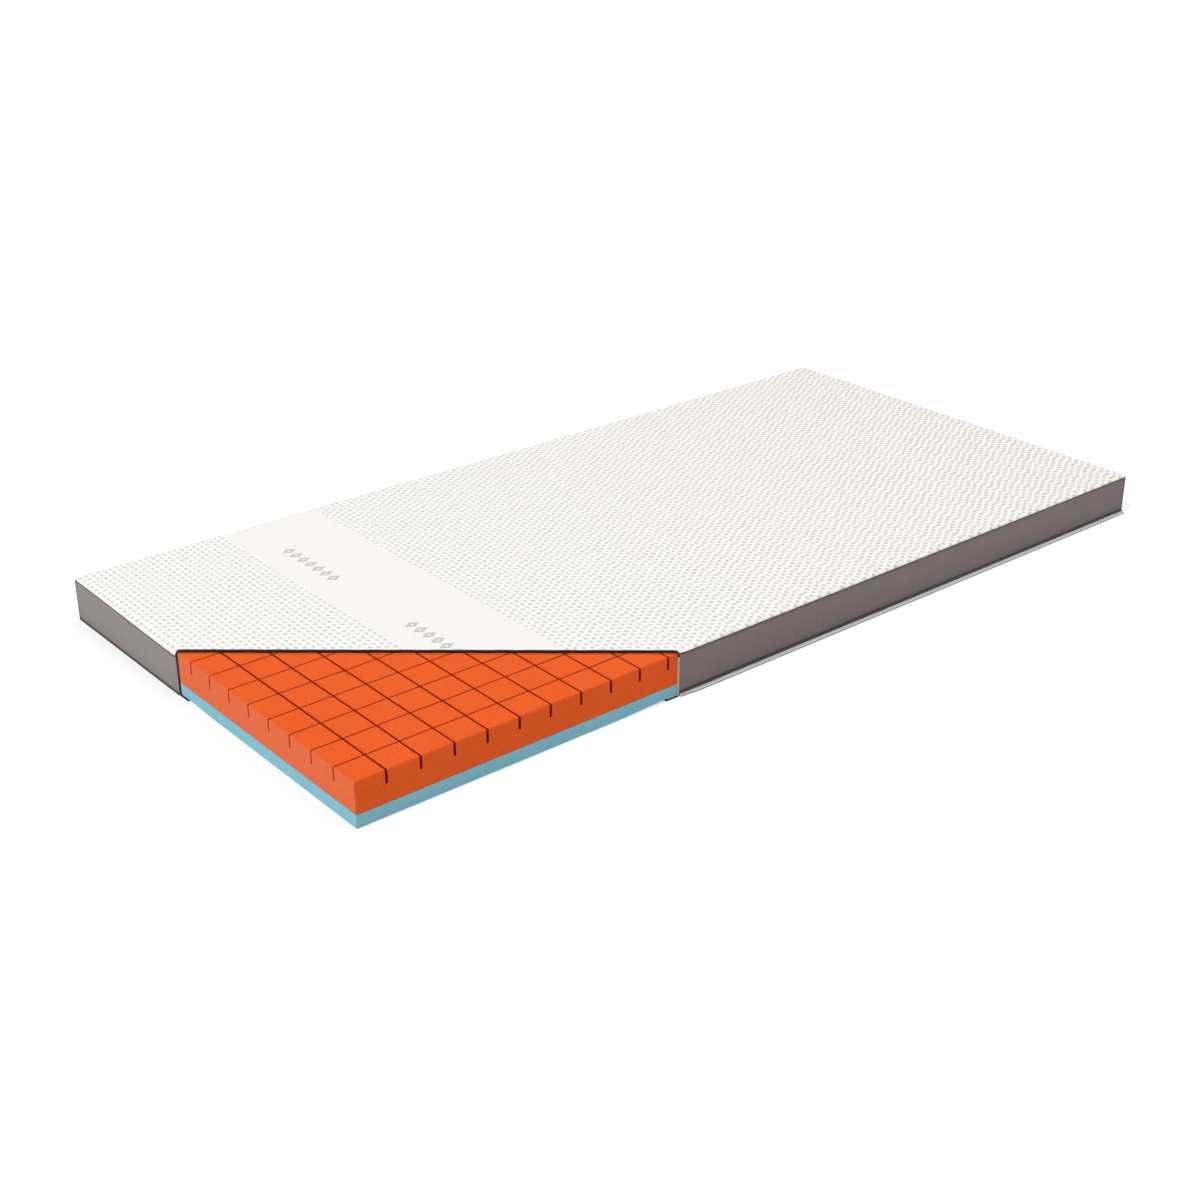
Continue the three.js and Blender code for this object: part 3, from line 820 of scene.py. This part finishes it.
def knit_panel():
    rim = np.array([0, 0.7, 2.0, 4.0, 6.8, 10.0, 13.5])
    quarter, third = DOT_PITCH / 4, ROW_PITCH / 3
    xs = with_rim(-HALF_X, HALF_X, rim, whole_steps(HALF_X - 17, quarter) * quarter)
    k = whole_steps(HALF_Y - 17, third, ROW_START)
    dotted = ROW_START + k * third
    outside = (dotted < BAND_LOW - 1) | (dotted > BAND_HIGH + 1)
    steps = np.array(DOT_STEPS)[np.round(k[outside] / 3).astype(int) % len(DOT_STEPS)]
    plain = np.linspace(BAND_LOW + 2, BAND_HIGH - 2, 24)
    ys = with_rim(-HALF_Y, HALF_Y, rim, [*dotted[outside], *plain])
    # the grid's lines are moved sideways so that they pass through the dots of each row
    shift = np.concatenate([rim * 0, steps, plain * 0, rim * 0]) * DOT_PITCH
    shift = (shift + quarter / 2) % quarter - quarter / 2
    order = np.argsort(ys)
    X, Y = np.meshgrid(xs, ys[order])
    X = X + shift[order, None] * smooth((HALF_X - 16 - np.abs(X)) / 12)
    bm = cut_sheet(X, Y, panel_height(X, Y), -1.2)
    close_below(bm, RIM_Z - 0.3, LINING_Z + 0.5)
    return from_bmesh("top_knit_panel", bm, "cover_top", top_knit, ["top_panel"])


knit = knit_panel()

# ---- lining and bottom panel ----

bottom_low, bottom_high = box("bottom_panel")


def thicken(bm, thickness):
    """Closes a sheet with a second layer below it."""
    made = bmesh.ops.duplicate(bm, geom=bm.verts[:] + bm.edges[:] + bm.faces[:])["geom"]
    for v in [g for g in made if isinstance(g, bmesh.types.BMVert)]:
        v.co.z -= thickness
    bmesh.ops.reverse_faces(bm, faces=[g for g in made if isinstance(g, bmesh.types.BMFace)])
    bmesh.ops.bridge_loops(bm, edges=open_edges(bm))
    bmesh.ops.recalc_face_normals(bm, faces=bm.faces)


def lining():
    edge_x, edge_y = HALF_X - 4.2, HALF_Y - 4.2
    X, Y = np.meshgrid(np.linspace(-edge_x, edge_x, 100), np.linspace(-edge_y, edge_y, 200))
    inside = smooth(np.minimum(edge_x - np.abs(X), edge_y - np.abs(Y)) / 30)
    ripple = inside * 0.06 * (waves(X + Y, 60, 21) + waves(X - Y, 70, 22))
    bm = cut_sheet(X, Y, LINING_Z + 0.1 + ripple, -2.6)
    thicken(bm, 0.3)
    made = from_bmesh("top_lining", bm, "cover_top", lining_cloth)


def hook(u):
    """How far the lower bound edge bulges towards the open corner near its two ends."""
    end = np.minimum(u, CUT_LENGTH - u)
    return 21.0 * smooth((end - 1) / 13) * smooth((48 - end) / 34)


def keep_in(x, y, margin=3.6):
    return np.clip(x, -HALF_X + margin, HALF_X - margin), np.clip(y, -HALF_Y + margin, HALF_Y)


def bottom_panel():
    left, right = bottom_low[0], HALF_X - 16.2
    foot, head = bottom_low[1], bottom_high[1]
    rim = np.array([0, 0.5, 1.6, 3.5])
    xs = with_rim(left, right, rim, np.linspace(left + 14, right - 14, 60))
    ys = with_rim(foot, head, rim, np.linspace(foot + 14, head - 14, 120))
    X, Y = np.meshgrid(xs, ys)
    to_edge = 1 - clamp(inset(X, Y) / rim[-1])
    round_off = 0.9 * (1 - np.sqrt(clamp(1 - to_edge**2)))
    bm = cut_sheet(X, Y, bottom_high[2] - round_off, -1.6)
    for v in bm.verts:
        x, y = v.co.x, v.co.y
        u, behind = cut_place(x, y)
        if behind < 1.7:
            moved = keep_in(x + corner_side[0] * hook(u), y + corner_side[1] * hook(u))
            v.co.x, v.co.y = float(moved[0]), float(moved[1])
    for v in extrude_rim(bm):
        v.co.z = 0.05
    fill_below(bm)
    made = from_bmesh("bottom_knit_panel", bm, "mattress_base", bottom_knit, ["bottom_panel"])


lining()
bottom_panel()

# ---- borders ----

RIB = 5.0


def border(node, axis, sign, seed):
    """A ribbed side panel that faces along an axis, with that sign."""
    low, high = box(node)
    run = 1 - axis
    face_at = high[axis] if sign > 0 else low[axis]
    thick = high[axis] - low[axis]
    z0, z1 = low[2], high[2]
    zs = np.array([0, 0.012, 0.04, 0.10, 0.2, 0.32, 0.44, 0.56, 0.68, 0.8, 0.9, 0.96, 0.988, 1.0])
    outer = np.stack([0 * zs, z0 + (z1 - z0) * zs], -1)
    outer[[0, -1], 0] = -0.9
    outer[[1, -2], 0] = -0.25
    inner = [(-thick, z1 - 0.3), (-thick, (z0 + z1) / 2), (-thick, z0 + 0.3)]
    depth, heights = np.concatenate([outer, inner]).T
    share = np.concatenate([zs, [0.9, 0.5, 0.1]])
    across = face_at + sign * depth
    start, end = low[run] + 0 * depth, high[run] + 0 * depth
    # at the cutaway the cloth ends just behind the bound edge
    set_back = BIND_BACK - 0.3
    if node == "border_foot":
        end = CUT_FOOT[0] + (across + HALF_Y) * along[0] / along[1] - set_back / corner_side[0]
    if node == "border_right":
        start = CUT_RIGHT[1] - (HALF_X - across) * along[1] / along[0] + set_back / -corner_side[1]
    count = int((high[run] - low[run]) / (RIB / 4))
    way = start + (end - start) * np.linspace(0, 1, count + 1)[:, None]
    to_end = np.minimum(way - start, end - way)
    puff = np.sin(np.pi * share) ** 0.8
    rib = np.sin(2 * np.pi * way / RIB) * 0.22 * clamp(puff * 3)
    swell = puff * (1.1 + 0.35 * waves(way, 130, seed) + 0.2 * waves(way + 60 * share, 47, seed + 1))
    is_outer = np.arange(len(depth)) < len(zs)
    out = depth + is_outer * (swell * smooth(to_end / 12) + rib * smooth(to_end / 3))
    points = np.zeros((*way.shape, 3))
    points[..., run] = way
    points[..., axis] = face_at + sign * out
    points[..., 2] = heights
    if node == "border_foot":
        points[..., 2] -= foot_drop(way) * share
    faces = tube_faces(*way.shape, flip=(axis == 0) == (sign > 0))
    made = piece(f"{node}_cloth", (points, faces), "cover_top", border_cloth,
                 [node], sharp=50)


border("border_foot", 1, -1, 31)
border("border_right", 0, 1, 33)
border("border_head", 1, 1, 35)
border("border_left", 0, -1, 37)

# ---- seams ----

seam_low, seam_high = box("top_seam_tape")
lower_low, lower_high = box("lower_seam_tape")
tape_low, tape_high = box("zip_tape_upper")
TOP_MIDDLE = (seam_low[2] + seam_high[2]) / 2
LOWER_MIDDLE = (lower_low[2] + lower_high[2]) / 2 - 1.5
FACE_X, FACE_Y = tape_high[0], tape_high[1]
FLARE, FLARE_TOP = 6.0, 8.5
ring = Ring(HALF_X, HALF_Y, 3.0, CUT_FOOT[0] - 1.2, CUT_RIGHT[1] + 1.2)


def flare(points):
    """The zip strip leans out over the floor: in full on the right side, fading along the head side."""
    points = np.array(points, float)
    x, y, z = np.moveaxis(points, -1, 0).copy()
    spread = FLARE * clamp((FLARE_TOP - z) / FLARE_TOP)
    near_cut = 0.35 + 0.65 * smooth((y - CUT_RIGHT[1]) / 50)
    points[..., 0] += spread * near_cut * clamp((x - FACE_X + 14) / 12)
    points[..., 1] += spread * smooth((x + HALF_X) / (2 * HALF_X)) * clamp((y - FACE_Y + 14) / 12)
    return points


def flared(shape):
    return flare(shape[0]), shape[1]


def seam_wobble(seed, up=0.22, out=0.08):
    def move(s, sections):
        sections[..., 1] += up * waves(s, 55, seed)
        sections[..., 0] += out * waves(s, 35, seed + 1)
        return sections

    return move


def seam_drop(s):
    """How far the top seam is pulled down at arc lengths s: only on the foot side."""
    return foot_drop(np.interp(s, ring.s, ring.points[:, 0])) * (s < ring.s[1])


def top_wobble(s, sections):
    sections = seam_wobble(41)(s, sections)
    sections[..., 1] -= seam_drop(s)
    return sections


def seam(name, node, width, height, middle, start, wobble):
    """A dark seam that runs round the cover."""
    section = rounded(width, height, 0.6, centre=(-0.62, middle))
    return piece(name, flared(band(ring, section, 12, start, wobble)), "cover_top", seam_cloth,
                 [node])


def foot_hem():
    """The tape that joins the foot border to the bottom panel and bends when the cover opens."""
    low, high = box("foot_seam_tape")
    outside, upper = -HALF_Y, high[2] + 2.2
    # (y, z) outline: a leg under the border and a leg up its outer face
    outline = [
        (3.55, 0.08), (2.0, 0.05), (0.5, 0.05), (-0.1, 0.5), (-0.15, 1.2), (-0.2, 2.4), (-0.1, upper - 0.3),
        (0.15, upper), (0.6, upper - 0.1), (0.75, 2.4), (0.75, 1.2), (1.1, 0.72), (2.0, 0.68), (3.55, 0.7),
    ]
    end = CUT_FOOT[0] - 2.4
    xs = np.append(np.arange(low[0] + 0.9, end, 6.0), end)
    points = np.array([[(x, outside + y, z + (0.15 * w if z > 1.5 else 0)) for y, z in outline]
                       for x, w in zip(xs, waves(xs, 50, 45))])
    shape = points, tube_faces(*points.shape[:2], flip=True)
    made = piece("foot_hem", shape, None, seam_cloth, ["foot_seam_tape"])
    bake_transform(made)


def corner_cords():
    """A narrow welt stands over the upright seam in each covered corner."""
    section = rounded(2.1, 2.1, 1.04)
    corners = ("foot_left", -1, -1, 3.9), ("head_left", -1, 1, 12.0), ("head_right", 1, 1, 12.0)
    for name, sx, sy, z0 in corners:
        z = np.linspace(z0, seam_low[2] + 0.4, 24)
        x = sx * (HALF_X - 1.35) + 0.12 * waves(z, 30, 51)
        y = sy * (HALF_Y - 1.35) + 0.12 * waves(z, 30, 52)
        out = np.array([sx * 0.7071, sy * 0.7071, 0])
        shape = sweep(np.stack([x, y, z], -1), out, np.cross(out, UP), section)
        piece(f"corner_seam_{name}", shape, "cover_top", seam_cloth, sharp=60)


top_seam = seam("top_seam", "top_seam_tape", 1.5, 3.2, TOP_MIDDLE, 0.0, top_wobble)
seam("lower_seam", "lower_seam_tape", 1.6, 5.4, LOWER_MIDDLE, ring.left_start, seam_wobble(43, 0.12))
foot_hem()
corner_cords()

# ---- bound edges of the cutaway ----


def binding_path(start_z, end_z):
    """(u, z) and the outward direction in the cutaway's plane, from the foot side over the top."""
    far = CUT_LENGTH - BIND_IN
    turn = BIND_TOP - BIND_BEND
    angles = [math.pi / 2 * k / 8 for k in range(9)]
    quarter = [(math.cos(a), math.sin(a)) for a in angles]
    top = np.linspace(BIND_IN + BIND_BEND + 3, far - BIND_BEND - 3, 150)
    path = [(BIND_IN, z, (-1, 0)) for z in np.linspace(start_z, turn - 1, 16)]
    path += [(BIND_IN + BIND_BEND * (1 - c), turn + BIND_BEND * s, (-c, s)) for c, s in quarter]
    path += [(u, BIND_TOP + 0.18 * math.sin(u / 9) * smooth((u - 12) / 20), (0, 1)) for u in top]
    path += [(far - BIND_BEND * (1 - s), turn + BIND_BEND * c, (s, c)) for c, s in quarter]
    path += [(far, z, (1, 0)) for z in np.linspace(turn - 1, end_z, 8)]
    return path


def bind(name, path, material, replaces):
    """A bound edge in the cutaway's plane, and the line of stitches on it."""
    u, z, ways = (np.array(values, float) for values in zip(*path))
    points = CUT_FOOT + u[:, None] * along - corner_side * BIND_BACK + z[:, None] * UP
    out = ways[:, :1] * along + ways[:, 1:] * UP
    shape = sweep(points, corner_side, out, rounded(4.0, 4.4, 1.6))
    made = piece(name, shape, "cover_top", material, replaces, sharp=60)
    return made, [(points + out * 2.15 - corner_side * 1.1, out)]


def lower_binding():
    u = np.unique(np.concatenate([np.linspace(1, 60, 44), np.linspace(60, CUT_LENGTH - 60, 60),
                                  np.linspace(CUT_LENGTH - 60, CUT_LENGTH - 1, 44)]))
    p = CUT_FOOT + u[:, None] * along + corner_side * (hook(u) - 1.0)[:, None]
    path = np.stack([*keep_in(p[:, 0], p[:, 1], 3.0), np.full(len(u), 1.58)], -1)
    t = unit(np.gradient(path, axis=0))
    for _ in range(3):
        t[1:-1] = (t[:-2] + t[1:-1] + t[2:]) / 3
    shape = sweep(path, np.cross(unit(t), UP), UP, rounded(3.6, 3.0, 1.3))
    piece("cut_binding_lower", shape, "mattress_base", dark_tape,
          ["cut_binding_bottom"], sharp=60)


dark_binding, dark_line = bind("cut_binding_dark", binding_path(1.2, 80.0), dark_tape,
                               ["cut_binding_top", "cut_binding_foot"])
pale_path = [(CUT_LENGTH - BIND_IN, z, (1, 0)) for z in np.linspace(79.8, 2.6, 30)]
pale_line = bind("cut_binding_pale", pale_path, pale_tape, ["cut_binding_right"])[1]
lower_binding()

# ---- zip ----

zip_ring = Ring(FACE_X, FACE_Y, 2.4, CUT_FOOT[0], CUT_RIGHT[1] + 2.2)
COIL_PITCH = 2.1


def upper_tape():
    section = rounded(1.2, tape_high[2] - tape_low[2], 0.4, centre=(-0.6, (tape_low[2] + tape_high[2]) / 2))
    shape = flared(band(zip_ring, section, 14, zip_ring.left_start, seam_wobble(61, 0.0, 0.05)))
    piece("zip_tape_upper_cloth", shape, "cover_top", zip_cloth, ["zip_tape_upper"])


def lower_tape():
    """An upright edge, and a leg that turns in under the foam."""
    turned = np.array([
        (-14.8, 0.12), (-6, 0.1), (-2.4, 0.12), (-0.9, 0.5), (-0.35, 1.3),
        (-0.9, 1.5), (-1.4, 1.1), (-2.6, 0.8), (-6, 0.8), (-14.8, 0.8),
    ])
    points, faces = band(zip_ring, turned, 14, zip_ring.left_start)
    # the leg is wider than the corners' radius, so its corners are mitred
    inwards = -turned[:, 0]
    stations = zip_ring.at(zip_ring.steps(14, zip_ring.left_start))[0][:, None]
    points[..., 0] = np.clip(stations[..., 0], inwards - FACE_X, FACE_X - inwards)
    points[..., 1] = np.minimum(stations[..., 1], FACE_Y - inwards)
    shape = flare(points), faces
    piece("zip_tape_lower_cloth", shape, "mattress_base", zip_cloth, ["zip_tape_lower"])


def coil_row(name, node, body, up):
    """A row of zip elements with a core cord. up is +1 where the elements' heads point up."""
    low, high = box(node)
    coil_ring = Ring(high[0], high[1], 2.2, CUT_FOOT[0], CUT_RIGHT[1] + 2.0)
    start = coil_ring.s[Ring.CORNER] + (low[1] - coil_ring.points[Ring.CORNER, 1])
    p, n, t = coil_ring.at(np.arange(start + 0.6, coil_ring.length - 0.6, COIL_PITCH))
    depth, height, middle = 2.2, high[2] - low[2], (low[2] + high[2]) / 2
    stations = [(-0.5, 0.42, 0.80), (0.0, 0.40, 0.92), (0.30, 0.58, 1.0), (0.5, 0.40, 0.7)]
    template = [(wide * 1.05 * c, -depth / 2 + depth / 2 * deep * s, up * b * height)
                for b, wide, deep in stations for c, s in AROUND]
    element = tube_faces(len(stations), SIDES, flip=up > 0)
    points, faces = scatter(p + UP * middle, t, n, UP, template, element)
    # a core cord and the tape's edge behind the elements
    edge_low, edge_high = sorted([middle - up * 1.6, middle + up * 1.05])
    cord = (1.1, 0.7, (-depth / 2, middle - up * 0.3))
    tape_edge = (0.2, edge_high - edge_low, (-depth - 0.12, (edge_low + edge_high) / 2))
    for width, tall, centre in (cord, tape_edge):
        core, core_faces = band(coil_ring, rounded(width, tall, width * 0.3, 2, centre), 20, start + 0.2)
        faces += [[i + len(points) for i in face] for face in core_faces]
        points = np.concatenate([points, core.reshape(-1, 3)])
    piece(name, (flare(points), faces), body, nylon, [node], sharp=60)


def dress_metal(part):
    """Metal and a fine bevel for a zip part that keeps its CAD shape."""
    part.data.materials.clear()
    part.data.materials.append(metal)
    bevel = part.modifiers.new("soft_edges", "BEVEL")
    bevel.width, bevel.segments, bevel.limit_method = 0.00016, 2, "ANGLE"
    bevel.angle_limit = math.radians(35)
    part.data.polygons.foreach_set("use_smooth", np.ones(len(part.data.polygons), bool))
    part.data.set_sharp_from_angle(angle=math.radians(30))


def zip_end_tab():
    """A folded scrap of tape that closes the corner beyond the zip's stops."""
    y = np.linspace(box("zip_stop_upper")[0][1] - 0.5, -FACE_Y + 2.2, 12)
    z0, z1 = 1.7, tape_low[2] + 2.2
    path = np.stack([0.15 * waves(y, 6, 81) - FACE_X, y, np.full(len(y), (z0 + z1) / 2)], -1)
    shape = sweep(path, (-1, 0, 0), UP, rounded(1.1, z1 - z0, 0.5, centre=(-0.5, 0)))
    piece("zip_end_tab", shape, "cover_top", zip_cloth, sharp=60)


upper_tape()
lower_tape()
coil_row("zip_elements_upper", "zip_coil_upper", "cover_top", -1)
coil_row("zip_elements_lower", "zip_coil_lower", "mattress_base", 1)
for node in ("zip_slider", "zip_pull_tab", "zip_stop_upper", "zip_stop_lower"):
    dress_metal(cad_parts[node])
zip_end_tab()

# ---- label and stitches ----


def care_label():
    """A blank label that hangs from its sewn upper edge; gives the line of its stitches."""
    low, high = box("care_label")
    X, Z = np.meshgrid(np.linspace(low[0], high[0], 25), np.linspace(low[2], high[2], 17))
    down = (high[2] - Z) / (high[2] - low[2])
    lift = 1.3 + 0.9 * down**2 * (1 + 0.5 * waves(X, 40, 71)) - 0.25 * (down < 0.05)
    front = np.stack([X, low[1] + lift + 0.4, Z], -1)
    rear = np.stack([X, low[1] + lift, Z], -1)
    made = piece("care_label_cloth", slab(front, rear, flip=True), "cover_top",
                 label_cloth, ["care_label"])
    return np.array([(x, low[1] + 1.62, high[2] - 3.0) for x in np.linspace(low[0] + 2, high[0] - 2, 10)])


def ring_line(r, offset, z, start=0.0):
    p, n, _ = r.at(r.steps(10, start))
    return flare(p + n * offset + UP * z), n


def corner_lines():
    """An upright line of stitches on each side of every covered corner."""
    bulge = 0.35
    lines = []
    for sx, sy, z0 in ((-1, -1, 6), (-1, 1, 14), (1, 1, 14)):
        on_end = (sx * (HALF_X - 5.0), sy * (FACE_Y + bulge)), (0, sy, 0)
        on_side = (sx * (FACE_X + bulge), sy * (HALF_Y - 6.0)), (sx, 0, 0)
        for (x, y), out in (on_end, on_side):
            line = [(x, y, z) for z in np.linspace(z0, 80, 12)]
            lines.append((np.array(line), out))
    return lines


label_line = care_label()
SEAM_OUT = 0.14
top_line, top_out = ring_line(ring, SEAM_OUT, TOP_MIDDLE)
top_line[:, 2] -= seam_drop(ring.steps(10))
top_stitches = stitches("stitches_top_seam", [(top_line, top_out)], "cover_top", dark_thread)
stitches("stitches_lower_seam", [ring_line(ring, SEAM_OUT, LOWER_MIDDLE, ring.left_start)],
         "cover_top", dark_thread)
stitches("stitches_corners", corner_lines(), "cover_top", dark_thread,
         length=2.8, gap=1.4, thick=0.5)
dark_stitches = stitches("stitches_binding_dark", dark_line, "cover_top", binding_thread,
                         length=2.6, gap=1.4, thick=0.45)
stitches("stitches_binding_pale", pale_line, "cover_top", white_thread,
         length=2.6, gap=1.4, thick=0.45)
stitches("stitches_label", [(label_line, (0, 1, 0))], "cover_top", white_thread,
         length=2.2, gap=1.0, thick=0.4)
# the overlocked edge that joins the lower zip tape to the bottom panel; its near-black, thick stitches also
# stand in for the contact shadow along the floor, a painted shadow
stitches("bottom_overlock", [ring_line(zip_ring, 0.0, 0.8, zip_ring.left_start)],
         "mattress_base", grey_thread, length=4.0, gap=0.1, thick=1.5)

# ---- light and floor ----


def make_world():
    """A dim white sky that the camera itself sees as plain white."""
    world = bpy.data.worlds.new("world")
    world.use_nodes = True
    nodes, link = world.node_tree.nodes, world.node_tree.links.new
    sky, white = nodes["Background"], nodes.new("ShaderNodeBackground")
    for background, strength in ((sky, 0.25), (white, 1.0)):
        background.inputs["Color"].default_value = (1, 1, 1, 1)
        background.inputs["Strength"].default_value = strength
    pick, path = nodes.new("ShaderNodeMixShader"), nodes.new("ShaderNodeLightPath")
    link(path.outputs["Is Camera Ray"], pick.inputs[0])
    link(sky.outputs[0], pick.inputs[1])
    link(white.outputs[0], pick.inputs[2])
    link(pick.outputs[0], nodes["World Output"].inputs[0])
    return world


def add_sun(name, energy, elevation, way, softness):
    """A sun over the foot side (way -1) or the head side (way 1)."""
    sun = bpy.data.objects.new(name, bpy.data.lights.new(name, "SUN"))
    sun.data.energy = energy
    sun.data.angle = math.radians(softness)
    height = math.radians(elevation)
    aim = Vector((0, way * math.cos(height), math.sin(height)))
    sun.rotation_euler = aim.to_track_quat("Z", "Y").to_euler()
    bpy.context.scene.collection.objects.link(sun)


def add_floor():
    mesh = bpy.data.meshes.new("floor")
    mesh.from_pydata([(-40, -40, 0), (40, -40, 0), (40, 40, 0), (-40, 40, 0)], [], [(0, 1, 2, 3)])
    floor = bpy.data.objects.new("floor", mesh)
    bpy.context.scene.collection.objects.link(floor)
    look = Nodes("floor", roughness=0.9, specular=0.0)
    look.finish(look.mix(look.noise(3), (0.555, 0.555, 0.555), (0.565, 0.565, 0.565)))
    look.inputs["Emission Color"].default_value = (1, 1, 1, 1)
    look.inputs["Emission Strength"].default_value = 0.5
    mesh.materials.append(look.material)
    floor.location.z = -0.0002


bpy.context.scene.world = make_world()
bpy.context.scene.view_settings.view_transform = "Standard"
add_sun("key_light", 2.27, 46.0, -1, 30)
add_sun("fill_light", 1.83, 55.0, 1, 60)
add_floor()
